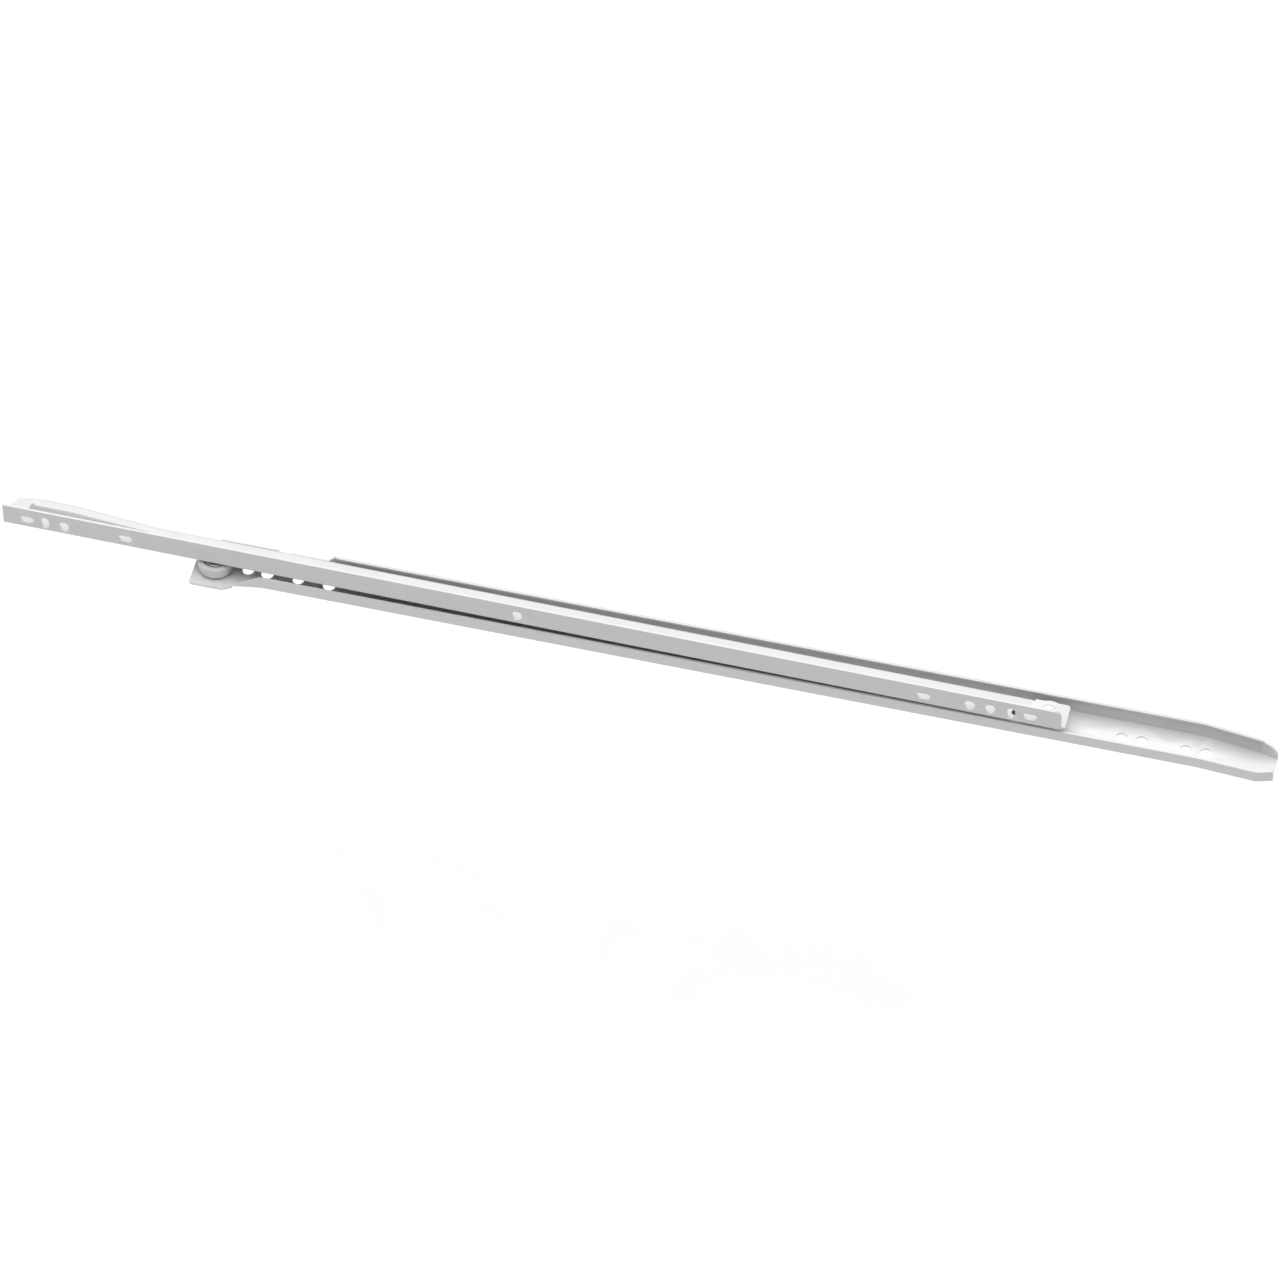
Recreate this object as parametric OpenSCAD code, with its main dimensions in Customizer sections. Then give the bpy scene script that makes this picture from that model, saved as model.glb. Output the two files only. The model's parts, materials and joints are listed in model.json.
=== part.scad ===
// Bottom-mounted roller drawer slide, one side of a pair, drawn part-way out.
// X runs from the front of the cabinet to the back, Y is up in use, and Z runs from the
// cabinet wall towards the drawer. The fixing face of the cabinet rail lies on Z = 0.

/* [Sheet steel] */
// Thickness of the coated sheet that both rails are folded from
sheet = 1.2; // [1:0.1:1.6]
// Outside radius of every fold
fold_r = 1.8; // [1.7:0.1:2.4]

/* [Cabinet rail] */
// Length of the cabinet rail
cabinet_len = 550; // [450:1:700]
// Width of the channel over its two flanges
channel_w = 21.4; // [21:0.1:26]
// Height of the lower flange above the fixing face
lower_flange_h = 8; // [6:0.1:9]
// Height of the upper flange above the fixing face
upper_flange_h = 11.5; // [11:0.1:12]
// Width of the lip on the upper flange
lip_w = 2.2; // [2:0.1:2.6]
// Distance from the rear end at which both flanges start to dip
dip_len = 38; // [30:1:45]
// Downward slope of the lower flange in the dip, in degrees
lower_dip_angle = 3.5; // [2:0.1:4]
// Downward slope of the upper flange in the dip, in degrees
upper_dip_angle = 7; // [5:0.1:7.5]
// Length of the curled tail at the rear end of each flange
tail_len = 8; // [6:0.5:10]
// How far the front plate reaches below the lower flange
front_plate_drop = 5.3; // [3:0.1:7]
// Length of the front plate, up to the start of the lower flange
front_plate_len = 22; // [22:0.5:28]
// Length of the flared lead-in of the lower flange
flare_len = 14; // [10:0.5:20]
// How far the lead-in is flared outwards
flare_out = 2.5; // [1:0.1:3.5]
// Height of the guard flange beside the front roller
guard_h = 5.8; // [4:0.1:8]
// Length of the guard flange
guard_len = 33; // [28:0.5:36]
// Length of the gap through which the rear roller lifts out
lift_gap_len = 19.5; // [19:0.5:26]
// Height of the low flange that crosses the lift-out gap
gap_flange_h = 7.2; // [5:0.1:9]

/* [Cabinet fixing holes] */
// Diameter of the main fixing holes
fixing_d = 6.4; // [5:0.1:6.6]
// Diameter of the smaller holes beside them
pilot_d = 5.8; // [4:0.1:6]
// Distance from the front end to the first main fixing hole
front_setback = 37; // [37:0.5:40]
// Pitch of the cabinet hole line
hole_pitch = 32; // [32:0.5:40]
// Distance between a main hole and the small hole beside it
pilot_offset = 10; // [9:0.5:12]
// Distance from the rear end to the last main fixing hole
rear_setback = 35; // [30:0.5:40]
// Height of the hole line above the lower flange
hole_line_y = 9.6; // [8.5:0.1:11]

/* [Drawer rail] */
// Length of the drawer rail
drawer_len = 544; // [444:1:694]
// Width of the drawer rail from its leg to its running flange
drawer_w = 16.2; // [15:0.1:17]
// Height of the leg that carries the drawer bottom
leg_h = 13.7; // [12:0.1:18]
// Distance from the fixing face to the outer face of the drawer rail
rail_stack = 11.6; // [11.5:0.1:12.4]
// Height of the running flange
running_flange_h = 9.2; // [8:0.1:9.6]
// How far the rail is drawn out in the modelled position
drawn_out = 98; // [60:1:120]
// Height of the hump in the running flange that drops the closed drawer
hump_h = 3.7; // [2:0.1:4]
// Where the hump starts to rise, from the front end
hump_start = 75; // [65:1:90]
// Where the hump reaches its full height, from the front end
hump_top = 32; // [26:1:40]
// Where the hump starts to fall towards the front end
hump_nose = 12; // [9:1:16]
// Length of the flat rear end, which has no running flange
bare_end = 19.6; // [19:0.1:24]

/* [Drawer rail holes] */
// Length of the oblong screw slots in the leg
slot_len = 7.5; // [6:0.1:9]
// Width of the oblong screw slots in the leg
slot_w = 4.2; // [3.5:0.1:5]
// Width of the final fixing holes in the leg
leg_hole_w = 5.2; // [4:0.1:6]
// Height of the final fixing holes in the leg
leg_hole_h = 6.4; // [5:0.1:8]

/* [Rollers] */
// Diameter of the front roller
front_roller_d = 17.8; // [16:0.1:18.4]
// Diameter of the rear roller
rear_roller_d = 16; // [14:0.1:16.1]
// Width of both rollers
roller_w = 6.4; // [5:0.1:6.5]
// Distance from the front end of the cabinet rail to the front roller axle
front_axle_x = 10.8; // [10.5:0.1:13]
// Height of the front roller axle above the lower flange
front_axle_y = 7.5; // [6:0.1:8]
// Distance from the rear end of the drawer rail to the rear roller axle
rear_axle_inset = 10.2; // [10:0.1:12]
// Height of the rear roller axle above the foot of the leg
rear_axle_y = 11.3; // [10:0.1:12]
// Diameter of the roller axles
axle_d = 6; // [5:0.1:7]
// Diameter of the axle heads
axle_head_d = 10.5; // [9:0.1:12]
// Thickness of the washers behind the rollers
washer_t = 1; // [0.5:0.1:1.2]
// Outside diameter of the washers
washer_d = 11; // [10:0.1:13]

/* [Fits] */
// Radial clearance of a roller on its axle
running_fit = 0.08; // [0.03:0.01:0.1]
// Clearance between a roller and the flange that it runs on
rolling_gap = 0.15; // [0.1:0.01:0.3]
// Side clearance of a roller between its washer and its axle head
side_play = 0.15; // [0.1:0.01:0.3]
// How far the rear roller stops short of its stop tab at full extension
stop_gap = 0.4; // [0.3:0.1:1]
// How far the drawer rail travels from closed to fully open
full_travel = 413; // [300:1:420]

/* [Hidden] */
$fn = 72;

steel_white = [0.94, 0.94, 0.93];
nylon_grey = [0.78, 0.79, 0.79];
plated_steel = [0.72, 0.72, 0.70];
cut = 1;             // overrun of a cutting tool past the face that it leaves
lap = 0.4;           // overlap of pieces of one sheet that run into each other
reach = 5;           // reach of the cutting tools that trim the flanges
dip_x = cabinet_len - dip_len;
front_r = front_roller_d / 2;
rear_r = rear_roller_d / 2;

// Places of the drawer rail. Its own frame has X along the rail from its front end and Y up
// from the foot of its leg. It leans a little, because its running flange lies on the front
// roller while its rear roller lies on the lower flange.
front_axle_in_rail_y = drawer_w - sheet - front_r - rolling_gap;
rear_axle_rise = front_axle_y + rear_axle_y - front_axle_in_rail_y;
rear_axle_rest = sheet + rear_r + rolling_gap;
lean = atan((rear_axle_rise - rear_axle_rest) / (dip_x - front_axle_x));
rear_axle_x = drawer_len - rear_axle_inset;
rail_z = rail_stack - sheet;
flange_end_x = drawer_len - bare_end;
leg_hole_drop = 0.7;     // how far the hole line of the leg lies below its middle
leg_hole_z = rail_z + leg_h / 2 - leg_hole_drop;

// Stop tab in the channel, just ahead of the rear roller at full extension
open_axle_x = rear_axle_x - full_travel;
stop_x = open_axle_x - rear_r - stop_gap;
stop_h = 6;
stop_w = 5;
stop_relief = 0.4;   // slit beside the stop tab
stop_y = rear_axle_rise - stop_w;

// Guard flange and lift-out gap
guard_x = 9.5;
guard_end_x = guard_x + guard_len;
guard_clearance = 0.4;
guard_y = front_axle_y + front_r + rolling_gap + sheet + hump_h + guard_clearance + sheet;
guard_relief = 4;
gap_start_x = guard_end_x + guard_relief;
gap_end_x = gap_start_x + lift_gap_len;
ramp_len = 4;
guard_taper = 3;     // length of the step in the web's edge ahead of the guard flange
plate_taper = 5;     // length of the slanted end of the front plate's lower edge
corner_clip = 0.9;   // clipped lower front corner of the front plate

module in_drawer_rail() {
    translate([front_axle_x, front_axle_y, 0])
        rotate([0, 0, -lean])
            translate([-front_axle_x - drawn_out, -front_axle_in_rail_y, 0])
                children();
}

// A chain of points in plan moved sideways by a distance, to the left where it is positive
function heading(points, i) = atan2(points[i + 1][1] - points[i][1], points[i + 1][0] - points[i][0]);
function moved_point(points, i, distance) =
    let (
        last = len(points) - 1,
        before = heading(points, max(i - 1, 0)),
        after = heading(points, min(i, last - 1)),
        middle = (before + after) / 2,
        miter = distance / cos((after - before) / 2)
    )
    points[i] + miter * [-sin(middle), cos(middle)];
function moved_chain(points, distance) = [for (i = [0 : len(points) - 1]) moved_point(points, i, distance)];
function reversed(points) = [for (i = [len(points) - 1 : -1 : 0]) points[i]];

// Upright strip of sheet between a chain of points in plan and the same chain moved sideways
module strip_along(points, distance, z0, z1) {
    translate([0, 0, z0])
        linear_extrude(height = z1 - z0)
            polygon(concat(points, reversed(moved_chain(points, distance))));
}

// Cutter that rounds the outside of a fold along X; the sheet lies towards +Y and +Z of it
module fold_cutter(length) {
    difference() {
        translate([0, -cut, -cut])
            cube([length, fold_r + cut, fold_r + cut]);
        translate([-cut, fold_r, fold_r])
            rotate([0, 90, 0])
                cylinder(h = length + 2 * cut, r = fold_r);
    }
}

module round_hole(x, y, diameter, z0, z1) {
    translate([x, y, z0 - cut])
        cylinder(h = z1 - z0 + 2 * cut, d = diameter);
}

// Oblong hole through the leg, its long side along X or Z
module leg_slot(x, width, height) {
    diameter = min(width, height);
    reach_x = (width - diameter) / 2;
    reach_z = (height - diameter) / 2;
    translate([x, -cut, leg_hole_z])
        rotate([-90, 0, 0])
            linear_extrude(height = sheet + 2 * cut) {
                translate([-reach_x, -reach_z])
                    circle(d = diameter);
                translate([reach_x, reach_z])
                    circle(d = diameter);
                square([max(2 * reach_x, diameter * sign(reach_z)), max(2 * reach_z, diameter * sign(reach_x))],
                    center = true);
            }
}

// ---- cabinet rail ----

lower_dip_y = -dip_len * tan(lower_dip_angle);
upper_dip_y = channel_w - dip_len * tan(upper_dip_angle);
channel_start_x = front_plate_len + flare_len;
tail_x = cabinet_len - tail_len;
lower_tail_y = lower_dip_y * (1 - tail_len / dip_len);
upper_tail_y = channel_w - (dip_len - tail_len) * tan(upper_dip_angle);

// Outer lines of the two flanges in plan
lower_line = [
    [front_plate_len, -flare_out],
    [channel_start_x, 0],
    [dip_x, 0],
    [tail_x, lower_tail_y],
    [cabinet_len, lower_tail_y + sheet]
];
upper_line = [
    [gap_end_x, channel_w],
    [dip_x, channel_w],
    [tail_x, upper_tail_y],
    [cabinet_len, upper_dip_y - sheet]
];

module cabinet_web() {
    // Front plate with its clipped lower corner, then the channel, the lift-out gap and the guard
    linear_extrude(height = sheet)
        polygon(concat(
            [
                [0, corner_clip - front_plate_drop],
                [corner_clip, -front_plate_drop],
                [front_plate_len - plate_taper, -front_plate_drop],
                [front_plate_len - 1, -flare_out - 1]
            ],
            lower_line,
            reversed(upper_line),
            [
                [gap_start_x, channel_w],
                [gap_start_x, channel_w - sheet],
                [guard_end_x, channel_w - sheet],
                [guard_end_x, guard_y],
                [guard_x, guard_y],
                [guard_x - guard_taper, channel_w - 3 * sheet],
                [0, channel_w - 4 * sheet]
            ]
        ));
}

module lower_flange() {
    round_r = lower_flange_h - 2;
    difference() {
        strip_along(lower_line, sheet, 0, lower_flange_h);
        // The front top corner of the lead-in is rounded off
        translate([front_plate_len - cut, -flare_out - reach, lower_flange_h - round_r])
            difference() {
                cube([round_r + cut, 2 * reach, round_r + cut]);
                translate([round_r + cut, -cut, 0])
                    rotate([-90, 0, 0])
                        cylinder(h = 2 * reach + 2 * cut, r = round_r);
            }
    }
}

module upper_flange() {
    // Guard flange beside the front roller, sloped off at its rear end
    difference() {
        translate([guard_x, guard_y - sheet, 0])
            cube([guard_len, sheet, guard_h]);
        translate([guard_end_x - ramp_len, guard_y - reach, guard_h])
            rotate([0, 45, 0])
                cube([2 * guard_h, 2 * reach, guard_h]);
    }
    // Low flange across the lift-out gap
    translate([gap_start_x, channel_w - sheet, 0])
        cube([lift_gap_len + lap, sheet, gap_flange_h]);
    // Full flange with its lip, ramped up from the low flange, with a rounded tail
    difference() {
        union() {
            strip_along(upper_line, -sheet, 0, upper_flange_h);
            strip_along(upper_line, -lip_w, upper_flange_h - sheet, upper_flange_h);
        }
        translate([gap_end_x, channel_w - reach, gap_flange_h])
            rotate([0, -45, 0])
                cube([2 * ramp_len, 2 * reach, 2 * ramp_len]);
        translate([tail_x, upper_dip_y - 2 * reach, upper_flange_h - tail_len])
            difference() {
                cube([tail_len + cut, 4 * reach, tail_len + cut]);
                translate([0, -cut, 0])
                    rotate([-90, 0, 0])
                        cylinder(h = 4 * reach + 2 * cut, r = tail_len);
            }
    }
}

// Rounding of the long folds of the cabinet rail
module cabinet_fold_cutters() {
    translate([channel_start_x, 0, 0])
        fold_cutter(dip_x - channel_start_x);
    translate([gap_start_x, channel_w, 0])
        mirror([0, 1, 0])
            fold_cutter(dip_x - gap_start_x);
    translate([gap_end_x + ramp_len, channel_w, upper_flange_h])
        mirror([0, 1, 0])
            mirror([0, 0, 1])
                fold_cutter(dip_x - gap_end_x - ramp_len);
}

// Tab lanced out of the web and turned up, with the window that it leaves
module stop_tab() {
    translate([stop_x - sheet, stop_y, 0])
        cube([sheet, stop_w, stop_h]);
}

module stop_window() {
    translate([stop_x - sheet - stop_h, stop_y - stop_relief, -cut])
        cube([stop_h, stop_w + 2 * stop_relief, sheet + 2 * cut]);
}

module cabinet_member() {
    first_rear_x = cabinet_len - rear_setback - hole_pitch;
    color(steel_white)
        difference() {
            union() {
                difference() {
                    union() {
                        cabinet_web();
                        lower_flange();
                        upper_flange();
                    }
                    stop_window();
                }
                stop_tab();
            }
            cabinet_fold_cutters();
            for (x = [front_setback, front_setback + hole_pitch, first_rear_x, first_rear_x + hole_pitch]) {
                round_hole(x, hole_line_y, fixing_d, 0, sheet);
            }
            for (x = [front_setback, first_rear_x, first_rear_x + hole_pitch]) {
                round_hole(x - pilot_offset, hole_line_y, pilot_d, 0, sheet);
            }
            round_hole(front_setback + hole_pitch / 2, hole_line_y, pilot_d, 0, sheet);
            translate([front_axle_x, front_axle_y, 0])
                axle_seat();
        }
}

// ---- drawer rail ----

web_front = 2;       // setback of the web's front corner from the leg
strip_w = 5.6;       // width of the strip that is pushed out to make the hump
slit_y = drawer_w - strip_w;
nose_drop = 2.6;     // how far the front end of the hump falls back
notch_w = 2;         // relief notch at the rear end of the running flange
leg_clip = 2;        // clipped rear upper corner of the leg
slit_lip = 1;        // length of the hook at the front end of the lens-shaped opening
slit_tail = 4;       // how far the opening runs on behind the hump
hook_drop = 2.2;     // how far the opening hooks down at its front end

// Holes of the drawer rail, in its own frame
long_slots_x = [12.5, 64, drawer_len - 70.8, drawer_len - 17.3];
upright_slots_x = [22, drawer_len - 26.8];
leg_holes_x = [32, drawer_len * 0.49, drawer_len - 47.6, drawer_len - 37.3];
web_hole = [drawer_len - 25.5, 5.6];

// Outer line of the running flange in plan
running_line = [
    [web_front, drawer_w + hump_h - nose_drop],
    [hump_nose, drawer_w + hump_h],
    [hump_top, drawer_w + hump_h],
    [hump_start, drawer_w],
    [flange_end_x, drawer_w]
];

module drawer_rail_shape() {
    // Leg with its clipped rear corner
    difference() {
        translate([0, 0, rail_z])
            cube([drawer_len - fold_r, sheet, leg_h]);
        translate([drawer_len - fold_r - leg_clip, -cut, rail_z + leg_h])
            rotate([0, 45, 0])
                cube([leg_h, reach, 2 * fold_r]);
    }
    // Web, with the lens-shaped opening that the pushed-out strip leaves behind it
    translate([0, 0, rail_z])
        linear_extrude(height = sheet)
            difference() {
                polygon(concat(
                    [[0, drawer_w - 2 * fold_r], [0, 0], [drawer_len - fold_r, 0]],
                    [[drawer_len, fold_r], [drawer_len, drawer_w - fold_r], [drawer_len - fold_r, drawer_w]],
                    [[flange_end_x + notch_w, drawer_w], [flange_end_x + notch_w, drawer_w - sheet]],
                    [[flange_end_x, drawer_w - sheet]],
                    reversed(running_line)
                ));
                polygon([
                    [hump_start + slit_tail, slit_y],
                    [hump_top, slit_y + hump_h],
                    [hump_nose, slit_y + hump_h],
                    [hump_nose - 1.5 * slit_lip, slit_y + hump_h + sheet],
                    [hump_nose - 2.5 * slit_lip, slit_y + hump_h + sheet - hook_drop],
                    [hump_nose - 2.5 * slit_lip, slit_y]
                ]);
            }
    strip_along(running_line, -sheet, rail_stack - running_flange_h, rail_stack);
}

// Rounding of the long folds of the drawer rail
module drawer_fold_cutters() {
    translate([-cut, 0, rail_z])
        fold_cutter(drawer_len + 2 * cut);
    translate([hump_start, drawer_w, rail_stack])
        mirror([0, 1, 0])
            mirror([0, 0, 1])
                fold_cutter(flange_end_x - hump_start);
}

module drawer_member() {
    color(steel_white)
        in_drawer_rail()
            difference() {
                drawer_rail_shape();
                drawer_fold_cutters();
                for (x = long_slots_x) {
                    leg_slot(x, slot_len, slot_w);
                }
                for (x = upright_slots_x) {
                    leg_slot(x, slot_w, slot_len);
                }
                for (x = leg_holes_x) {
                    leg_slot(x, leg_hole_w, leg_hole_h);
                }
                round_hole(web_hole[0], web_hole[1], slot_w, rail_z, rail_stack);
                translate([rear_axle_x, rear_axle_y, rail_stack])
                    mirror([0, 0, 1])
                        axle_seat();
            }
}

// ---- rollers and axles ----
// Each axle stands on Z = 0 of its own frame, the outer face of the rail that holds it.

countersink_d = axle_d + 2;
countersink_h = 0.9;
recess_h = 1.6;
recess_d = axle_head_d + 2.1;
head_h = 1;
head_bevel = 0.6;
dimple_r = 3;
dimple_h = 0.6;
roller_z = sheet + washer_t + side_play;
head_z = roller_z + roller_w - recess_h + side_play;

// Countersunk hole that the swaged end of an axle fills
module axle_seat() {
    round_hole(0, 0, axle_d, 0, sheet);
    cylinder(h = countersink_h, d1 = countersink_d, d2 = axle_d);
}

// Headed axle with a flush, dimpled, swaged end
module axle() {
    difference() {
        union() {
            cylinder(h = countersink_h, d1 = countersink_d, d2 = axle_d);
            cylinder(h = head_z + head_h / 2, d = axle_d);
            translate([0, 0, head_z])
                cylinder(h = head_h - head_bevel / 2, d = axle_head_d);
            translate([0, 0, head_z + head_h - head_bevel / 2])
                cylinder(h = head_bevel / 2, d1 = axle_head_d, d2 = axle_head_d - 2 * head_bevel);
        }
        translate([0, 0, dimple_h - dimple_r])
            sphere(dimple_r);
    }
}

module washer() {
    translate([0, 0, sheet])
        difference() {
            cylinder(h = washer_t, d = washer_d);
            round_hole(0, 0, axle_d, 0, washer_t);
        }
}

// Moulded roller with a rounded rim and a recessed face for the axle head
module roller(diameter) {
    rim_r = 0.8;
    bore_r = axle_d / 2 + running_fit;
    translate([0, 0, roller_z])
        rotate_extrude()
            difference() {
                union() {
                    translate([0, rim_r])
                        square([diameter / 2, roller_w - 2 * rim_r]);
                    square([diameter / 2 - rim_r, roller_w]);
                    for (z = [rim_r, roller_w - rim_r])
                        translate([diameter / 2 - rim_r, z])
                            circle(rim_r);
                }
                translate([-diameter, -cut])
                    square([diameter + bore_r, roller_w + 2 * cut]);
                translate([0, roller_w - recess_h])
                    square([recess_d / 2, recess_h + cut]);
            }
}

module on_front_axle() {
    translate([front_axle_x, front_axle_y, 0])
        children();
}

module on_rear_axle() {
    in_drawer_rail()
        translate([rear_axle_x, rear_axle_y, rail_stack])
            mirror([0, 0, 1])
                children();
}

module front_roller() {
    color(nylon_grey)
        on_front_axle()
            roller(front_roller_d);
}

module rear_roller() {
    color(nylon_grey)
        on_rear_axle()
            roller(rear_roller_d);
}

module front_axle() {
    color(plated_steel)
        on_front_axle()
            axle();
}

module rear_axle() {
    color(plated_steel)
        on_rear_axle()
            axle();
}

module front_washer() {
    color(plated_steel)
        on_front_axle()
            washer();
}

module rear_washer() {
    color(plated_steel)
        on_rear_axle()
            washer();
}

cabinet_member();
drawer_member();
front_roller();
rear_roller();
front_axle();
rear_axle();
front_washer();
rear_washer();
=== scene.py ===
import json
import math

import bmesh
import bpy
from mathutils import Matrix, Vector


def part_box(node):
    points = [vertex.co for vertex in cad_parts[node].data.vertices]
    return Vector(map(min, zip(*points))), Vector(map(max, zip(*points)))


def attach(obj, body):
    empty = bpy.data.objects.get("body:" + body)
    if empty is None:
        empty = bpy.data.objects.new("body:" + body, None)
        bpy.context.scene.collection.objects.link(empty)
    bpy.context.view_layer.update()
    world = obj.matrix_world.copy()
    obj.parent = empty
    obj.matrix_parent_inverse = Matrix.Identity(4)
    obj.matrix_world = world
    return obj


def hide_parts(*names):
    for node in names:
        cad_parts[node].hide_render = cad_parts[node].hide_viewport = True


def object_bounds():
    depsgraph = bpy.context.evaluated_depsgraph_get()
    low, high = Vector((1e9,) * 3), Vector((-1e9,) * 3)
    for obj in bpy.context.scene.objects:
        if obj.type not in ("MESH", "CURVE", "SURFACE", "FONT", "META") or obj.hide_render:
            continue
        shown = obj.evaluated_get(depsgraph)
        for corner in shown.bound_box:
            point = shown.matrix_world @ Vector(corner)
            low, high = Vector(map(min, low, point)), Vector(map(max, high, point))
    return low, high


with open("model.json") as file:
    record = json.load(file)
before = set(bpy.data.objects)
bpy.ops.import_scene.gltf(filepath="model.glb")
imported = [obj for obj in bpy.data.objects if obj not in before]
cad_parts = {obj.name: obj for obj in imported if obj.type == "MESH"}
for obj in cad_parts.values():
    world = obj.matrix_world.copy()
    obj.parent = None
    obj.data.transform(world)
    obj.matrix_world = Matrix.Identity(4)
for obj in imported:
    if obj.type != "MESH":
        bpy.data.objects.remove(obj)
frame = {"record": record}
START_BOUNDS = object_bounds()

MM = 0.001
JOINTS = frame["record"]["behaviour"]["joints"]


# ---- materials ----

class Nodes:
    """Short way to build one material's node tree."""

    def __init__(self, name):
        self.material = bpy.data.materials.new(name)
        self.material.use_nodes = True
        self.tree = self.material.node_tree
        self.shader = self.tree.nodes["Principled BSDF"]
        self.position = self.add("ShaderNodeTexCoord").outputs["Object"]

    def add(self, kind, **values):
        node = self.tree.nodes.new(kind)
        for key, value in values.items():
            if key in node.inputs:
                node.inputs[key].default_value = value
            else:
                setattr(node, key, value)
        return node

    def link(self, source, target):
        self.tree.links.new(source, target)

    def noise(self, scale, detail=4.0, roughness=0.5, stretch=(1, 1, 1)):
        mapping = self.add("ShaderNodeMapping", Scale=stretch)
        self.link(self.position, mapping.inputs["Vector"])
        noise = self.add("ShaderNodeTexNoise", Scale=scale, Detail=detail, Roughness=roughness)
        self.link(mapping.outputs["Vector"], noise.inputs["Vector"])
        return noise.outputs["Fac"]

    def ramp(self, value, *stops):
        ramp = self.add("ShaderNodeValToRGB")
        elements = ramp.color_ramp.elements
        while len(elements) < len(stops):
            elements.new(0.5)
        for element, (place, colour) in zip(elements, stops):
            element.position = place
            element.color = (*colour, 1)
        self.link(value, ramp.inputs["Fac"])
        return ramp.outputs["Color"]

    def mix(self, factor, a, b, blend="MIX"):
        mix = self.add("ShaderNodeMix", data_type="RGBA", blend_type=blend)
        for place, value in ((0, factor), (6, a), (7, b)):
            if isinstance(value, bpy.types.NodeSocket):
                self.link(value, mix.inputs[place])
            else:
                mix.inputs[place].default_value = value
        return mix.outputs[2]

    def span(self, value, low, high):
        spread = self.add("ShaderNodeMapRange")
        spread.inputs["To Min"].default_value = low
        spread.inputs["To Max"].default_value = high
        self.link(value, spread.inputs["Value"])
        return spread.outputs["Result"]

    def bump(self, height, strength, distance, normal=None):
        bump = self.add("ShaderNodeBump", Strength=strength, Distance=distance)
        self.link(height, bump.inputs["Height"])
        if normal:
            self.link(normal, bump.inputs["Normal"])
        return bump.outputs["Normal"]


def edge_highlight_mask(nodes, lowest=0.505, highest=0.56):
    """1 on outside edges, where the colour is lightened as a painted highlight."""
    geometry = nodes.add("ShaderNodeNewGeometry")
    spread = nodes.add("ShaderNodeMapRange")
    spread.inputs["From Min"].default_value = lowest
    spread.inputs["From Max"].default_value = highest
    nodes.link(geometry.outputs["Pointiness"], spread.inputs["Value"])
    return spread.outputs["Result"]


def coated_steel():
    n = Nodes("coated_steel")
    shader = n.shader.inputs
    shader["Roughness"].default_value = 0.34
    shader["IOR"].default_value = 1.5
    shader["Coat Weight"].default_value = 0.12
    shader["Coat Roughness"].default_value = 0.22
    # Broad, faint unevenness of the coating's thickness, then fine specks in it
    cloud = n.ramp(n.noise(60, 3), (0.3, (0.660, 0.648, 0.654)), (0.7, (0.686, 0.674, 0.680)))
    specks = n.noise(2600, 2, 0.6)
    colour = n.mix(n.span(specks, 0.0, 0.10), cloud, (0.68, 0.68, 0.675, 1))
    # Painted highlight: outside edges lightened towards pale grey, as if catching the light
    colour = n.mix(n.span(edge_highlight_mask(n), 0.0, 0.35), colour, (0.82, 0.82, 0.815, 1))
    n.link(colour, shader["Base Color"])
    n.link(n.span(n.noise(420, 3), 0.28, 0.42), shader["Roughness"])
    # Orange peel of the powder coat over long, shallow rolling waves of the sheet
    waves = n.bump(n.noise(45, 2, 0.4, (0.25, 1, 1)), 0.10, 0.0006)
    peel = n.bump(n.noise(1100, 2, 0.45), 0.10, 0.00012, waves)
    n.link(peel, shader["Normal"])
    return n.material


def nylon():
    n = Nodes("nylon")
    shader = n.shader.inputs
    shader["Roughness"].default_value = 0.4
    shader["IOR"].default_value = 1.53
    shader["Subsurface Weight"].default_value = 0.25
    shader["Subsurface Radius"].default_value = (0.0016, 0.0016, 0.0015)
    shader["Subsurface Scale"].default_value = 1.0
    flow = n.ramp(n.noise(140, 4, 0.55), (0.35, (0.64, 0.655, 0.66)), (0.65, (0.72, 0.73, 0.73)))
    colour = n.mix(n.span(n.noise(1500, 2), 0.0, 0.12), flow, (0.50, 0.51, 0.51, 1))
    n.link(colour, shader["Base Color"])
    n.link(n.span(n.noise(300, 3), 0.32, 0.5), shader["Roughness"])
    fine = n.bump(n.noise(1900, 2), 0.12, 0.00008)
    n.link(fine, shader["Normal"])
    return n.material


def plated_steel():
    n = Nodes("plated_steel")
    shader = n.shader.inputs
    shader["Metallic"].default_value = 1.0
    shader["Roughness"].default_value = 0.3
    tint = n.ramp(n.noise(500, 4), (0.3, (0.50, 0.51, 0.52)), (0.7, (0.62, 0.61, 0.59)))
    # Painted highlight: outside edges of the plating lightened, as if catching the light
    colour = n.mix(n.span(edge_highlight_mask(n), 0.0, 0.5), tint, (0.85, 0.85, 0.84, 1))
    n.link(colour, shader["Base Color"])
    n.link(n.span(n.noise(900, 3), 0.22, 0.42), shader["Roughness"])
    marks = n.bump(n.noise(2400, 3, 0.6), 0.18, 0.00006)
    n.link(marks, shader["Normal"])
    return n.material


MATERIALS = {"coated_steel": coated_steel(), "nylon": nylon(), "plated_steel": plated_steel()}


def dress(obj, slot):
    """Gives a piece one material and names its slot."""
    obj.data.materials.clear()
    obj.data.materials.append(MATERIALS[slot])
    for polygon in obj.data.polygons:
        polygon.material_index = 0


def soften_edges(obj, width, angle=28):
    """Small rounding of every sharp edge."""
    bevel = obj.modifiers.new("edge rounding", "BEVEL")
    bevel.width = width
    bevel.segments = 3
    bevel.limit_method = "ANGLE"
    bevel.angle_limit = math.radians(angle)
    bevel.use_clamp_overlap = True
    bevel.harden_normals = False


# ---- folded sheet ----
# Each rail is one sheet: strips of its middle surface are laid along X from a cross-section at
# each station, joined, and thickened. Sizes are in millimetres in the rail's own frame.

SHEET = 1.2
FOLD_R = 1.8
MID = SHEET / 2
ARC_STEPS = 7
PIN_D = 6.0
TOOL_HALF = 3.0
TURN_STEPS = 24


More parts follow.
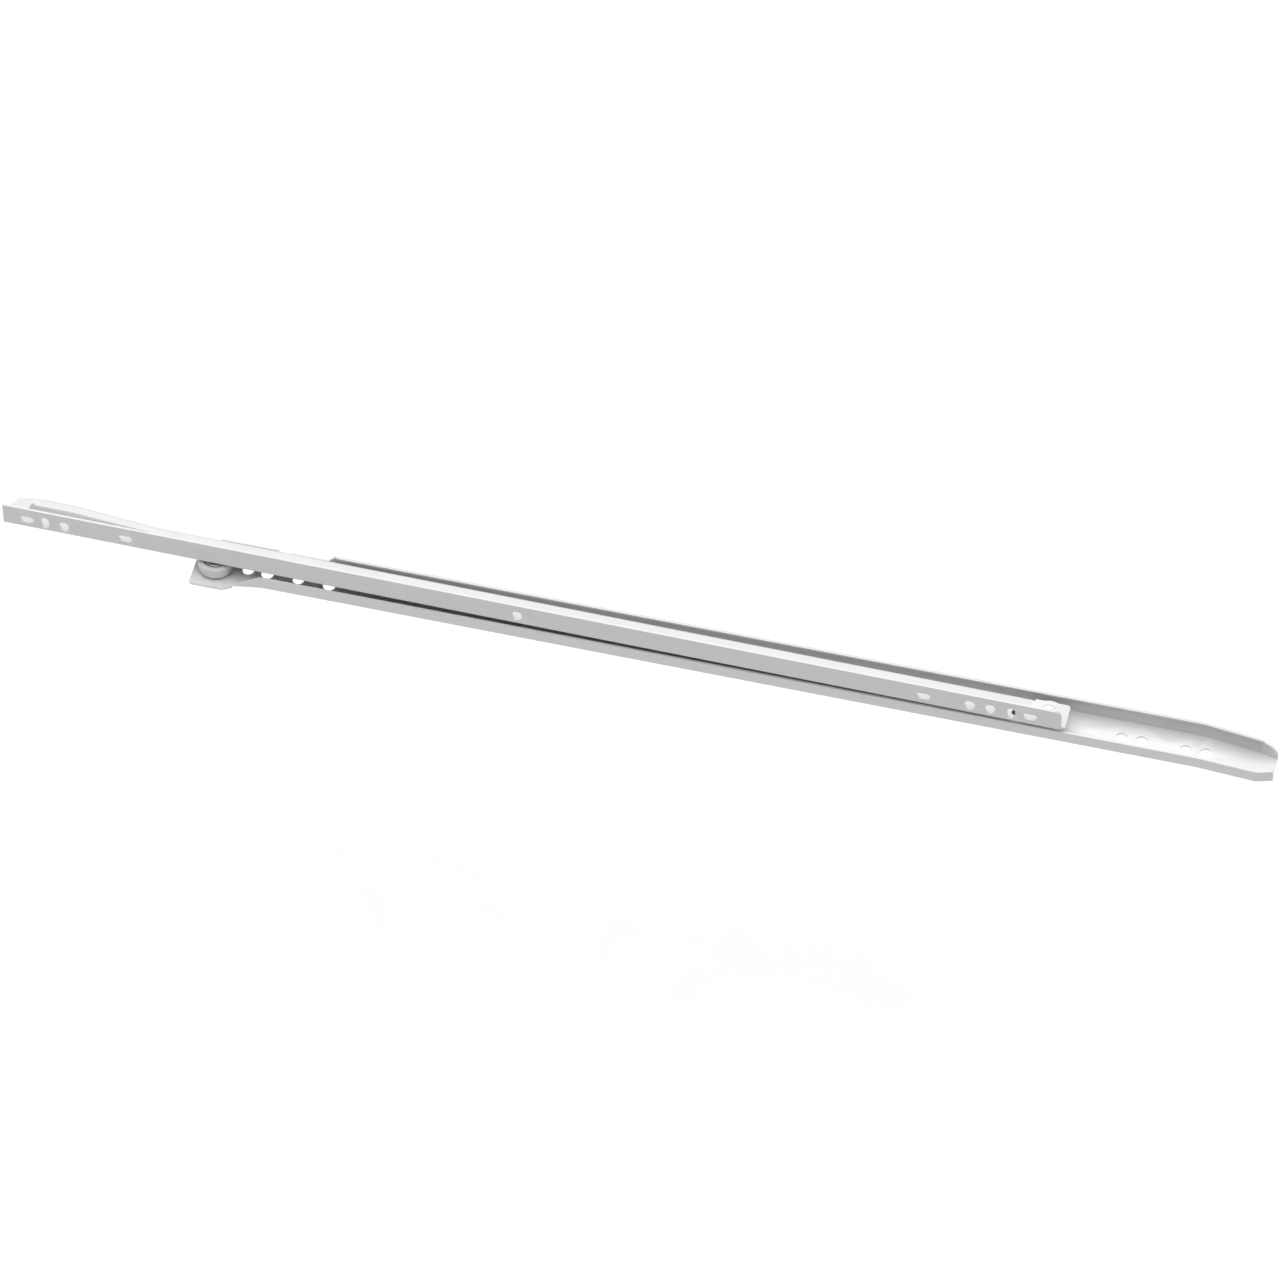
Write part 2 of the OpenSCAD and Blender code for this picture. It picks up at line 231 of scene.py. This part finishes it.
def soft_line(points, blend):
    """A chain of straight runs in plan whose corners are rounded over +-blend."""
    slopes = [(b[1] - a[1]) / (b[0] - a[0]) for a, b in zip(points, points[1:])]

    def at(x):
        y = points[0][1] + slopes[0] * (x - points[0][0])
        for (corner, _), before, after in zip(points[1:], slopes, slopes[1:]):
            d = x - corner
            turn = 0 if d < -blend else d if d > blend else (d + blend) ** 2 / (4 * blend)
            y += (after - before) * turn
        return y
    return at


def stations(start, end, corners=(), blend=3.0, step=24.0):
    """X places from start to end: close together round each corner, wide apart elsewhere."""
    places = {start, end}
    count = max(1, math.ceil((end - start) / step))
    places.update(start + (end - start) * i / count for i in range(count + 1))
    for corner in corners:
        places.update(corner + blend * i / 4 for i in range(-4, 5))
    kept = []
    for x in sorted(p for p in places if start <= p <= end):
        if not kept or x - kept[-1] > 0.2 or x == end:
            kept.append(x)
    if len(kept) > 1 and kept[-1] - kept[-2] < 0.2:
        kept.pop(-2)
    return kept


def arc(cy, cz, first, last):
    """Points of a fold's middle line, from one angle to another."""
    radius = FOLD_R - MID
    steps = [math.radians(first + (last - first) * i / ARC_STEPS) for i in range(ARC_STEPS + 1)]
    return [(cy + radius * math.cos(t), cz + radius * math.sin(t)) for t in steps]


class Sheet:
    """Strips of middle surface that become one piece of folded sheet."""

    def __init__(self, name, place=Matrix.Identity(4)):
        self.name = name
        self.place = place
        self.mesh = bmesh.new()

    def strip(self, places, section):
        rows = [[self.mesh.verts.new((x, y, z)) for y, z in section(x)] for x in places]
        for near, far in zip(rows, rows[1:]):
            for i in range(len(near) - 1):
                self.mesh.faces.new((near[i], far[i], far[i + 1], near[i + 1]))

    def solid(self):
        bmesh.ops.remove_doubles(self.mesh, verts=self.mesh.verts, dist=0.01)
        bmesh.ops.dissolve_degenerate(self.mesh, edges=self.mesh.edges, dist=0.005)
        bmesh.ops.recalc_face_normals(self.mesh, faces=self.mesh.faces)
        bmesh.ops.transform(self.mesh, matrix=self.place @ Matrix.Scale(MM, 4), verts=self.mesh.verts)
        obj = linked(self.name, self.mesh)
        thick = obj.modifiers.new("sheet", "SOLIDIFY")
        thick.thickness = SHEET * MM
        thick.offset = 0
        thick.use_even_offset = True
        thick.use_quality_normals = True
        bake(obj)
        return obj


def linked(name, mesh):
    """A new object in the scene from a bmesh."""
    data = bpy.data.meshes.new(name)
    mesh.to_mesh(data)
    mesh.free()
    obj = bpy.data.objects.new(name, data)
    bpy.context.scene.collection.objects.link(obj)
    return obj


def bake(obj):
    """Turns an object's modifiers into its mesh."""
    bpy.context.view_layer.update()
    graph = bpy.context.evaluated_depsgraph_get()
    data = bpy.data.meshes.new_from_object(obj.evaluated_get(graph))
    obj.modifiers.clear()
    old, obj.data = obj.data, data
    bpy.data.meshes.remove(old)


def carve(obj, cutters):
    """Cuts closed tool meshes out of an object."""
    for tool in cutters:
        cut = obj.modifiers.new("hole", "BOOLEAN")
        cut.operation = "DIFFERENCE"
        cut.solver = "EXACT"
        cut.object = tool
    bake(obj)
    for tool in cutters:
        bpy.data.objects.remove(tool)


def prism(outline, depth, place):
    """A closed tool: an outline in its own XY plane, drawn out along +-Z and put in place."""
    mesh = bmesh.new()
    lower = [mesh.verts.new((x, y, -depth)) for x, y in outline]
    upper = [mesh.verts.new((x, y, depth)) for x, y in outline]
    mesh.faces.new(reversed(lower))
    mesh.faces.new(upper)
    for i in range(len(outline)):
        k = (i + 1) % len(outline)
        mesh.faces.new((lower[i], lower[k], upper[k], upper[i]))
    bmesh.ops.recalc_face_normals(mesh, faces=mesh.faces)
    bmesh.ops.transform(mesh, matrix=place @ Matrix.Scale(MM, 4), verts=mesh.verts)
    return linked("tool", mesh)


def oblong(width, height, steps=14):
    """Outline of a hole with round ends; a circle where both sizes are the same."""
    r = min(width, height) / 2
    dx, dy = width / 2 - r, height / 2 - r
    points = []
    for i in range(2 * steps):
        t = 2 * math.pi * (i + 0.5) / (2 * steps)
        c, s = math.cos(t), math.sin(t)
        points.append((r * c + math.copysign(dx, c), r * s + math.copysign(dy, s)))
    return points


def shift(x, y, z):
    return Matrix.Translation((x * MM, y * MM, z * MM))


# Cabinet rail
CAB_LOW, CAB_HIGH = [[v / MM for v in corner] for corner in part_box("cabinet_member")]
LENGTH = CAB_HIGH[0]
CHANNEL_W = 21.4
GUARD_Y = CAB_HIGH[1]
PLATE_Y = CAB_LOW[1]
UPPER_H = CAB_HIGH[2]
LOWER_H = 8.0
GUARD_H, GUARD_X, GUARD_END = 5.8, 9.5, 42.5
GAP_H, GAP_START, GAP_END = 7.2, 46.5, 66.0
PLATE_LEN, FLARE_END = 22.0, 36.0
DIP_X, TAIL_X = LENGTH - 38, LENGTH - 8
LOW_TAIL, HIGH_TAIL = -1.84, CHANNEL_W - 3.68
GUARD_CORNER_R = 1.5
PLATE_CORNER_Y, PLATE_TAPER, PLATE_SHOULDER, PLATE_RISE = 16.6, 0.18, 17.8, 3.0
RAMP_END = GAP_END + UPPER_H - FOLD_R - GAP_H
LIP_TURN, LIP_RUN, LIP_WIDTH = 25, 1.8, 0.4
STOP_YS, STOP_H = (7.9, 12.8), 6.0
HOLE_Y, SCREW_D, PILOT_D, HOLE_PITCH = 9.6, 6.4, 5.8, 32.0
BEND = 2.2
lower_y = soft_line([(PLATE_LEN - 9, -2.5), (PLATE_LEN, -2.5), (FLARE_END, 0), (DIP_X, 0),
                     (TAIL_X, LOW_TAIL), (LENGTH, LOW_TAIL + 2.4)], BEND)
upper_y = soft_line([(GAP_START, CHANNEL_W), (DIP_X, CHANNEL_W), (TAIL_X, HIGH_TAIL),
                     (LENGTH, HIGH_TAIL - 2.2)], BEND)
WEB_YS = (3.0, 6.5, 9.5, 12.5)
LOWER_CORNERS = (PLATE_LEN, FLARE_END, DIP_X, TAIL_X)
TAIL_CORNER_R = 1.6


def lower_height(x):
    """The lead-in rises in a soft S from the front plate, and the rear corner is rounded."""
    share = min(1.0, (x - PLATE_LEN) / (FLARE_END - PLATE_LEN + 1))
    soft = 0.35 * share + 0.65 * share * share * (3 - 2 * share)
    into = max(0.0, x - LENGTH + TAIL_CORNER_R)
    drop = TAIL_CORNER_R - math.sqrt(TAIL_CORNER_R ** 2 - into ** 2)
    return FOLD_R + 0.25 + (LOWER_H - FOLD_R - 0.25) * soft - drop


def lower_flange(x):
    y = lower_y(x)
    return [(WEB_YS[0], MID)] + arc(y + FOLD_R, FOLD_R, 270, 180) + [(y + MID, lower_height(x))]


def front_plate(x):
    clip = max(0.0, 0.9 - x) + max(0.0, x - PLATE_LEN + 5) * 0.5
    return [(WEB_YS[0], MID), (lower_y(PLATE_LEN) + FOLD_R, MID), (PLATE_Y + clip, MID)]


def plate_top(x):
    """Far part of the front plate: a slanted front edge, then a shoulder out to the guard."""
    edge = PLATE_CORNER_Y + PLATE_TAPER * x
    if x >= GUARD_X - PLATE_RISE:
        edge = PLATE_SHOULDER + (x - GUARD_X + PLATE_RISE) / PLATE_RISE * (GUARD_Y - PLATE_SHOULDER)
    share = (edge - WEB_YS[-1]) / (GUARD_Y - WEB_YS[-1])
    marks = (CHANNEL_W - FOLD_R, CHANNEL_W - SHEET, GUARD_Y - FOLD_R, GUARD_Y)
    return [(WEB_YS[-1], MID)] + [(WEB_YS[-1] + share * (m - WEB_YS[-1]), MID) for m in marks]


def guard_flange(x):
    """Short flange beside the front roller, rounded in front and slanted off behind."""
    height = min(GUARD_H, GUARD_H - (x - GUARD_END + GUARD_H - FOLD_R - 0.1))
    front = max(0.0, GUARD_CORNER_R - (x - GUARD_X))
    height -= GUARD_CORNER_R - math.sqrt(max(0.0, GUARD_CORNER_R ** 2 - front ** 2))
    flat = [(WEB_YS[-1], MID), (CHANNEL_W - FOLD_R, MID), (CHANNEL_W - SHEET, MID)]
    return flat + arc(GUARD_Y - FOLD_R, FOLD_R, 270, 360) + [(GUARD_Y - MID, max(height, FOLD_R + 0.1))]


def gap_edge(x):
    return [(WEB_YS[-1], MID), (CHANNEL_W - FOLD_R, MID), (CHANNEL_W - SHEET, MID)]


def upper_flange(x, height):
    y = upper_y(x)
    return [(WEB_YS[-1], MID)] + arc(y - FOLD_R, FOLD_R, 270, 360) + [(y - MID, height)]


def lipped_flange(x):
    """Far flange with its inward lip, which turns in over the first millimetres."""
    y = upper_y(x)
    turn = LIP_TURN + (90 - LIP_TURN) * min(1.0, (x - RAMP_END) / LIP_RUN)
    width = LIP_WIDTH * min(1.0, max(0.25, (x - RAMP_END - LIP_RUN) / 0.6))
    lip = arc(y - FOLD_R, UPPER_H - FOLD_R, 0, turn)
    across, along = math.sin(math.radians(turn)), math.cos(math.radians(turn))
    end = (lip[-1][0] - width * across, lip[-1][1] + width * along)
    return upper_flange(x, FOLD_R)[:-1] + lip + [end]


def tail_flange(x):
    """Far flange coming down in a quarter ellipse to the rear end."""
    share = (x - TAIL_X) / (LENGTH - TAIL_X)
    top = FOLD_R + 0.3 + (UPPER_H - 2 * FOLD_R - 0.3) * math.sqrt(max(0.0, 1 - share ** 2))
    return upper_flange(x, top)


def between(places, start, end):
    return [x for x in places if start <= x <= end]


def make_cabinet():
    rail = Sheet("cabinet_rail")
    fine = [PLATE_LEN + i for i in range(16)]
    guard = stations(GUARD_X, GUARD_END, (GUARD_X + 0.8, GUARD_END - 2), 2.0, 12)
    ramp = [GAP_END, RAMP_END]
    lipped = [RAMP_END + 0.3 * i for i in range(9)]
    lipped += stations(RAMP_END + 4, TAIL_X, (DIP_X, TAIL_X), BEND)
    tail = [TAIL_X + (LENGTH - TAIL_X) * math.sin(math.pi / 2 * i / 8) for i in range(9)]
    plate = [0, 0.9, 3, GUARD_X - PLATE_RISE, GUARD_X, 13, PLATE_LEN - 5, PLATE_LEN]
    fine += [LENGTH - TAIL_CORNER_R * (1 - math.sin(math.pi / 2 * i / 5)) for i in range(5)]
    lower = sorted(set(fine + stations(PLATE_LEN, LENGTH, LOWER_CORNERS, BEND)))
    lower = [x for i, x in enumerate(lower) if i == 0 or x - lower[i - 1] > 0.05]
    every = sorted(set(plate + guard + [GAP_START] + ramp + lipped + tail + lower))
    rail.strip(every, lambda x: [(y, MID) for y in WEB_YS])
    for start, end, section in (
            (0, PLATE_LEN, front_plate), (PLATE_LEN, LENGTH, lower_flange),
            (0, GUARD_X, plate_top), (GUARD_X, GUARD_END, guard_flange),
            (GUARD_END, GAP_START, gap_edge),
            (GAP_START, GAP_END, lambda x: upper_flange(x, GAP_H)),
            (GAP_END, RAMP_END, lambda x: upper_flange(x, GAP_H + x - GAP_END)),
            (RAMP_END, TAIL_X, lipped_flange), (TAIL_X, LENGTH, tail_flange)):
        rail.strip(between(every, start, end), section)
    obj = rail.solid()
    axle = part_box("front_axle")
    axle_x, axle_y = [(axle[0][i] + axle[1][i]) / 2 / MM for i in (0, 1)]
    first, rear = 37.0, LENGTH - 35 - HOLE_PITCH
    screws = (first, first + HOLE_PITCH, rear, rear + HOLE_PITCH)
    pilots = (first - 10, first + HOLE_PITCH / 2, rear - 10, rear + HOLE_PITCH - 10)
    holes = [(x, SCREW_D) for x in screws] + [(x, PILOT_D) for x in pilots]
    tools = [prism(oblong(d, d), TOOL_HALF, shift(x, HOLE_Y, 0)) for x, d in holes]
    tools.append(prism(oblong(PIN_D, PIN_D, TURN_STEPS), TOOL_HALF, shift(axle_x, axle_y, 0)))
    # The thickened tail slants a little past the rail's length, so it is trimmed there
    tools.append(prism([(0, -30), (9, -30), (9, 50), (0, 50)], 30, shift(LENGTH, 0, 0)))
    carve(obj, tools)
    return obj


def make_stop_tab():
    """The tab turned up out of the web, with its bend."""
    tab = Sheet("stop_tab")
    radius = FOLD_R - MID
    angles = [math.radians(90 * i / ARC_STEPS) for i in range(ARC_STEPS + 1)]
    x0 = STOP_X - MID - radius
    path = [(x0 - 0.4, MID)]
    path += [(x0 + radius * math.sin(t), FOLD_R - radius * math.cos(t)) for t in angles]
    path.append((STOP_X - MID, STOP_H))
    rows = [[tab.mesh.verts.new((x, y, z)) for y in STOP_YS] for x, z in path]
    for near, far in zip(rows, rows[1:]):
        tab.mesh.faces.new((near[0], far[0], far[1], near[1]))
    return tab.solid()


# Drawer rail, in its own frame: X along it from its front end and Y up from the foot of its leg
SLIDE = next(j for j in JOINTS if j["type"] == "slide")
LEAN = math.atan2(SLIDE["axis"][1], -SLIDE["axis"][0])
FRONT_HUB = next(j for j in JOINTS if j["child"] == "front_wheel")["pos_m"]
REAR_HUB = next(j for j in JOINTS if j["child"] == "rear_wheel")["pos_m"]
RAIL_LEN, RAIL_W, LEG_H, STACK, RUN_H = 544.0, 16.2, 13.7, 11.6, 9.2
REAR_INSET, REAR_UP = 10.2, 11.3
RAIL_Z = STACK - SHEET
RAIL_PLACE = (Matrix.Translation((REAR_HUB[0], REAR_HUB[1], 0)) @ Matrix.Rotation(-LEAN, 4, "Z")
              @ shift(REAR_INSET - RAIL_LEN, -REAR_UP, 0))
TRAVEL, REAR_R, STOP_GAP = 413, 8, 0.4
STOP_X = RAIL_LEN - REAR_INSET - TRAVEL - REAR_R - STOP_GAP
HUMP = 3.7
HUMP_START, HUMP_TOP, HUMP_NOSE, WEB_FRONT = 75.0, 32.0, 12.0, 2.0
SLIT_Y = RAIL_W - 5.6
SLIT_END = HUMP_START + 9
NOSE_X, NOSE_STEP, LEG_FOLD_END, HOLE_DROP = 9.5, 2.7, 4.0, 0.7
FLANGE_END = RAIL_LEN - 19.6
END_X = RAIL_LEN - FOLD_R
running_y = soft_line([(WEB_FRONT, RAIL_W + 1.1), (HUMP_NOSE, RAIL_W + HUMP), (HUMP_TOP, RAIL_W + HUMP),
                       (HUMP_START, RAIL_W), (FLANGE_END, RAIL_W)], 4.0)
slit_edge = soft_line([(NOSE_X, SLIT_Y + NOSE_STEP), (10.5, SLIT_Y + HUMP + 1.2), (12, SLIT_Y + HUMP),
                       (HUMP_TOP, SLIT_Y + HUMP), (SLIT_END, SLIT_Y), (FLANGE_END, SLIT_Y)], 0.4)


def leg(x):
    height = LEG_H - max(0.0, x - END_X + 2) - 0.5 * max(0.0, 0.6 - x)
    fold = arc(FOLD_R, RAIL_Z + FOLD_R, 180, 270)
    return [(MID, RAIL_Z + height)] + fold + [(LEG_FOLD_END, RAIL_Z + MID)]


def running_flange(x, inner):
    y = running_y(x)
    outer = arc(y - FOLD_R, STACK - FOLD_R, 90, 0) + [(y - MID, STACK - RUN_H)]
    return [(inner, RAIL_Z + MID)] + outer


def web_start(x):
    """Cross-section of the web's slanted front tip, ahead of the running flange."""
    start = running_y(WEB_FRONT) - FOLD_R
    reach = 2 + (start - SLIT_Y - 2) * x / WEB_FRONT
    return [(SLIT_Y + share * reach, RAIL_Z + MID) for share in (0, 0.5, 1)]


def nose_section(x):
    """Web and flange between the tip and the lens-shaped opening."""
    half = (running_y(WEB_FRONT) - FOLD_R - SLIT_Y) * 0.5
    inner = SLIT_Y + half + (NOSE_STEP - half) * (x - WEB_FRONT) / (NOSE_X - WEB_FRONT)
    return [(SLIT_Y, RAIL_Z + MID)] + running_flange(x, inner)


def corner_y(x):
    """How far out the rounded rear corner is at x."""
    return max(0.03, math.sqrt(max(0.0, FOLD_R ** 2 - (x - END_X) ** 2)))


def make_drawer_rail():
    rail = Sheet("drawer_rail", RAIL_PLACE)
    web_z = RAIL_Z + MID
    long = stations(HUMP_START + 6, FLANGE_END, (), 3, 30)
    hump = stations(HUMP_NOSE, HUMP_START + 6, (HUMP_NOSE, HUMP_TOP, HUMP_START), 4.0, 6)
    hump = sorted(set(hump + [SLIT_END]))
    nose = [NOSE_X, 10.0, 10.5, 11.2, HUMP_NOSE]
    front = [WEB_FRONT, 4, 6, 8, NOSE_X]
    bare = [FLANGE_END, FLANGE_END + 2, END_X - 6, END_X - 2, END_X]
    corner = [END_X + FOLD_R * math.sin(math.pi / 2 * i / 6) for i in range(7)]
    tip = [0, 0.6, WEB_FRONT]
    every = sorted(set(tip + front + nose + hump + long + bare + corner))
    every = [x for i, x in enumerate(every) if i == 0 or x - every[i - 1] > 1e-6]
    high = RAIL_W - FOLD_R

    def flat(*ys):
        return lambda x: [(y, web_z) for y in ys]

    for places, section in (
            (between(every, 0, END_X), leg),
            (between(every, END_X, RAIL_LEN), flat(FOLD_R, LEG_FOLD_END)),
            (every, flat(LEG_FOLD_END, 7.5, SLIT_Y)),
            (tip, web_start),
            (front, nose_section),
            (between(every, NOSE_X, SLIT_END), lambda x: running_flange(x, max(slit_edge(x), SLIT_Y))),
            (between(every, SLIT_END, FLANGE_END), lambda x: running_flange(x, SLIT_Y)),
            (between(every, FLANGE_END, RAIL_LEN), flat(SLIT_Y, high)),
            ([FLANGE_END, FLANGE_END + 2], flat(high, RAIL_W - SHEET)),
            (between(every, FLANGE_END + 2, END_X), flat(high, RAIL_W - SHEET, RAIL_W)),
            (corner, lambda x: [(high + share * corner_y(x), web_z) for share in (0, 0.33, 1)])):
        rail.strip(places, section)
    obj = rail.solid()
    hole_z = RAIL_Z + LEG_H / 2 - HOLE_DROP
    into_leg = Matrix.Rotation(math.radians(90), 4, "X")
    holes = [(x, 7.5, 4.2) for x in (12.5, 64, RAIL_LEN - 70.8, RAIL_LEN - 17.3)]
    holes += [(x, 4.2, 7.5) for x in (22, RAIL_LEN - 26.8)]
    holes += [(x, 5.2, 6.4) for x in (32, RAIL_LEN * 0.49, RAIL_LEN - 47.6, RAIL_LEN - 37.3)]
    tools = [prism(oblong(w, h), TOOL_HALF, RAIL_PLACE @ shift(x, MID, hole_z) @ into_leg)
             for x, w, h in holes]
    tools.append(prism(oblong(4.2, 4.2), TOOL_HALF, RAIL_PLACE @ shift(RAIL_LEN - 25.5, 5.6, RAIL_Z)))
    hub = RAIL_PLACE @ shift(RAIL_LEN - REAR_INSET, REAR_UP, RAIL_Z)
    tools.append(prism(oblong(PIN_D, PIN_D, TURN_STEPS), TOOL_HALF, hub))
    carve(obj, tools)
    return obj


def finish_piece(obj, body, slot, nodes, rounding):
    for polygon in obj.data.polygons:
        polygon.use_smooth = True
    if rounding:
        soften_edges(obj, rounding * MM)
    even = obj.modifiers.new("even shading", "WEIGHTED_NORMAL")
    even.keep_sharp = True
    dress(obj, slot)
    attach(obj, body)
    if nodes:
        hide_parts(*nodes)


# ---- turned pieces ----

def turned(name, profile, place, segments=96):
    """A piece of revolution from a chain of (radius, height); a radius of 0 closes it."""
    mesh = bmesh.new()
    rings = []
    for r, z in profile:
        if r < 1e-6:
            rings.append([mesh.verts.new((0, 0, z))])
        else:
            turns = [2 * math.pi * i / segments for i in range(segments)]
            rings.append([mesh.verts.new((r * math.cos(t), r * math.sin(t), z)) for t in turns])
    pairs = list(zip(rings, rings[1:]))
    if profile[0][0] > 1e-6 and profile[-1][0] > 1e-6:
        pairs.append((rings[-1], rings[0]))
    for a, b in pairs:
        for i in range(segments):
            k = (i + 1) % segments
            if len(a) == 1:
                mesh.faces.new((a[0], b[i], b[k]))
            elif len(b) == 1:
                mesh.faces.new((a[i], a[k], b[0]))
            else:
                mesh.faces.new((a[i], a[k], b[k], b[i]))
    bmesh.ops.recalc_face_normals(mesh, faces=mesh.faces)
    bmesh.ops.transform(mesh, matrix=place @ Matrix.Scale(MM, 4), verts=mesh.verts)
    return linked(name, mesh)


def rounded(r, z, radius, first, last, steps=5):
    """Profile points of a rounded corner about (r, z)."""
    turns = [math.radians(first + (last - first) * i / steps) for i in range(steps + 1)]
    return [(r + radius * math.cos(t), z + radius * math.sin(t)) for t in turns]


WHEEL_W, RIM_R, BORE_R, RECESS = 6.4, 0.8, 3.08, 1.6
WASHER_T, SIDE_GAP = 1.0, 0.15
PIN_R = PIN_D / 2
ROLLER_Z = SHEET + WASHER_T + SIDE_GAP
HEAD_Z = ROLLER_Z + WHEEL_W - RECESS + SIDE_GAP


def roller_profile(radius):
    """Moulded wheel: tread with a parting line, rounded rims, groove, hub recess."""
    middle, recess_z = WHEEL_W / 2, WHEEL_W - RECESS
    points = [(BORE_R, 0.2), (BORE_R + 0.2, 0), (5.0, 0), (5.15, 0.25), (5.9, 0.25), (6.05, 0)]
    points += rounded(radius - RIM_R, RIM_R, RIM_R, -90, 0)
    points += [(radius, middle - 0.12), (radius - 0.06, middle), (radius, middle + 0.12)]
    points += rounded(radius - RIM_R, WHEEL_W - RIM_R, RIM_R, 0, 90)
    points += [(6.75, WHEEL_W), (6.6, WHEEL_W - 0.12), (6.35, WHEEL_W - 0.2), (6.3, WHEEL_W - 0.5)]
    points += [(6.2, recess_z), (BORE_R + 0.2, recess_z), (BORE_R, recess_z - 0.2)]
    return points


def axle_profile():
    """Swaged end flush with the sheet, with a dimple, then shank and a bevelled round head."""
    points = [(0, 0.6), (0.6, 0.54), (1.1, 0.4), (1.5, 0.2), (1.75, 0.06), (2.0, 0.0)]
    points += [(2.9, 0.0), (3.1, 0.04), (3.25, 0.16), (3.4, 0.16), (3.55, 0.04), (3.9, 0.0)]
    points += [(3.97, 0.05), (PIN_R, 0.9), (PIN_R, HEAD_Z), (5.1, HEAD_Z), (5.25, HEAD_Z + 0.12)]
    points += [(5.25, HEAD_Z + 0.55), (5.1, HEAD_Z + 0.8), (4.75, HEAD_Z + 0.96), (4.2, HEAD_Z + 1.0)]
    points += [(2.0, HEAD_Z + 1.0), (1.8, HEAD_Z + 0.92), (0, HEAD_Z + 0.88)]
    return points


def washer_profile():
    top = SHEET + WASHER_T
    return [(PIN_R, SHEET), (PIN_R + 0.1, SHEET), (5.3, SHEET), (5.5, SHEET + 0.15), (5.5, top - 0.15),
            (5.3, top), (PIN_R + 0.1, top), (PIN_R, top - 0.1)]


FRONT_PLACE = Matrix.Translation((FRONT_HUB[0], FRONT_HUB[1], 0))
REAR_PLACE = Matrix.Translation((REAR_HUB[0], REAR_HUB[1], STACK * MM)) @ Matrix.Rotation(math.pi, 4, "X")

EDGE_R = 0.2
finish_piece(make_cabinet(), "cabinet", "coated_steel", ["cabinet_member"], EDGE_R)
finish_piece(make_stop_tab(), "cabinet", "coated_steel", [], EDGE_R)
finish_piece(make_drawer_rail(), "drawer", "coated_steel", ["drawer_member"], EDGE_R)
for end, place, body, wheel, radius in (("front", FRONT_PLACE, "cabinet", "front_wheel", 8.9),
                                        ("rear", REAR_PLACE, "drawer", "rear_wheel", REAR_R)):
    roller = turned(end + "_wheel_moulding", roller_profile(radius), place @ shift(0, 0, ROLLER_Z))
    finish_piece(roller, wheel, "nylon", [end + "_roller"], 0)
    axle = turned(end + "_rivet", axle_profile(), place)
    finish_piece(axle, body, "plated_steel", [end + "_axle"], 0)
    washer = turned(end + "_spacer", washer_profile(), place)
    finish_piece(washer, body, "plated_steel", [end + "_washer"], 0)


# ---- floor, light and camera ----

low, high = START_BOUNDS
FLOOR_Z = low[2] - 0.16
FLOOR_HALF = 6.0
MIDDLE = Vector(((low[0] + high[0]) / 2, (low[1] + high[1]) / 2, (low[2] + high[2]) / 2))


def floor():
    """Pale paper sweep, well below the slide, because the photograph shows no shadow under it."""
    mesh = bpy.data.meshes.new("floor")
    corners = [(MIDDLE.x + i * FLOOR_HALF, MIDDLE.y + k * FLOOR_HALF, FLOOR_Z)
               for i, k in ((-1, -1), (1, -1), (1, 1), (-1, 1))]
    mesh.from_pydata(corners, [], [(0, 1, 2, 3)])
    obj = bpy.data.objects.new("floor", mesh)
    bpy.context.scene.collection.objects.link(obj)
    n = Nodes("floor")
    n.shader.inputs["Roughness"].default_value = 0.9
    n.shader.inputs["Specular IOR Level"].default_value = 0.1
    paper = n.ramp(n.noise(30, 3), (0.3, (0.91, 0.91, 0.91)), (0.7, (0.925, 0.925, 0.925)))
    n.link(paper, n.shader.inputs["Base Color"])
    mesh.materials.append(n.material)
    return obj


floor()


def area_light(name, place, size, power, aim=MIDDLE):
    data = bpy.data.lights.new(name, "AREA")
    data.shape = "RECTANGLE"
    data.size, data.size_y = size
    data.energy = power
    obj = bpy.data.objects.new(name, data)
    bpy.context.scene.collection.objects.link(obj)
    place = MIDDLE + Vector(place)
    turn = (aim - place).to_track_quat("-Z", "Y").to_matrix().to_4x4()
    obj.matrix_world = Matrix.Translation(place) @ turn
    return obj


# Name, place from the middle of the slide, size, watts
for softbox in (("top light", (0.0, 0.3, 3.0), (5.0, 4.4), 178),
                ("front light", (-0.2, -2.2, 1.9), (2.4, 1.2), 5),
                ("left light", (-1.8, -0.4, 1.1), (1.0, 1.2), 3),
                ("right light", (1.7, 0.5, 1.2), (1.0, 1.2), 3)):
    area_light(*softbox)

scene = bpy.context.scene
world = bpy.data.worlds.new("studio")
world.use_nodes = True
world.node_tree.nodes["Background"].inputs["Color"].default_value = (1.0, 1.0, 1.0, 1)
world.node_tree.nodes["Background"].inputs["Strength"].default_value = 0.06
scene.world = world
scene.view_settings.view_transform = "Standard"

# The photograph looks down on the slide from 50 degrees, a little from its front end
CAMERA_AZIMUTH = math.radians(14.03)
CAMERA_ELEVATION = math.radians(50.0)
CAMERA_DISTANCE = 3.6631
AIM = Vector((0.2302, 0.0052, 0.0106))


def make_camera():
    data = bpy.data.cameras.new("camera")
    data.lens = 208.125
    data.sensor_width = 36.0
    data.sensor_fit = "HORIZONTAL"
    data.clip_start = 0.05
    data.clip_end = 40.0
    obj = bpy.data.objects.new("camera", data)
    scene.collection.objects.link(obj)
    c_az, s_az = math.cos(CAMERA_AZIMUTH), math.sin(CAMERA_AZIMUTH)
    c_el, s_el = math.cos(CAMERA_ELEVATION), math.sin(CAMERA_ELEVATION)
    right = Vector((c_az, s_az, 0))
    forward = Vector((-s_az * c_el, c_az * c_el, -s_el))
    up = right.cross(forward)
    turn = Matrix((right, up, -forward)).transposed().to_4x4()
    obj.matrix_world = Matrix.Translation(AIM - forward * CAMERA_DISTANCE) @ turn
    scene.camera = obj


make_camera()
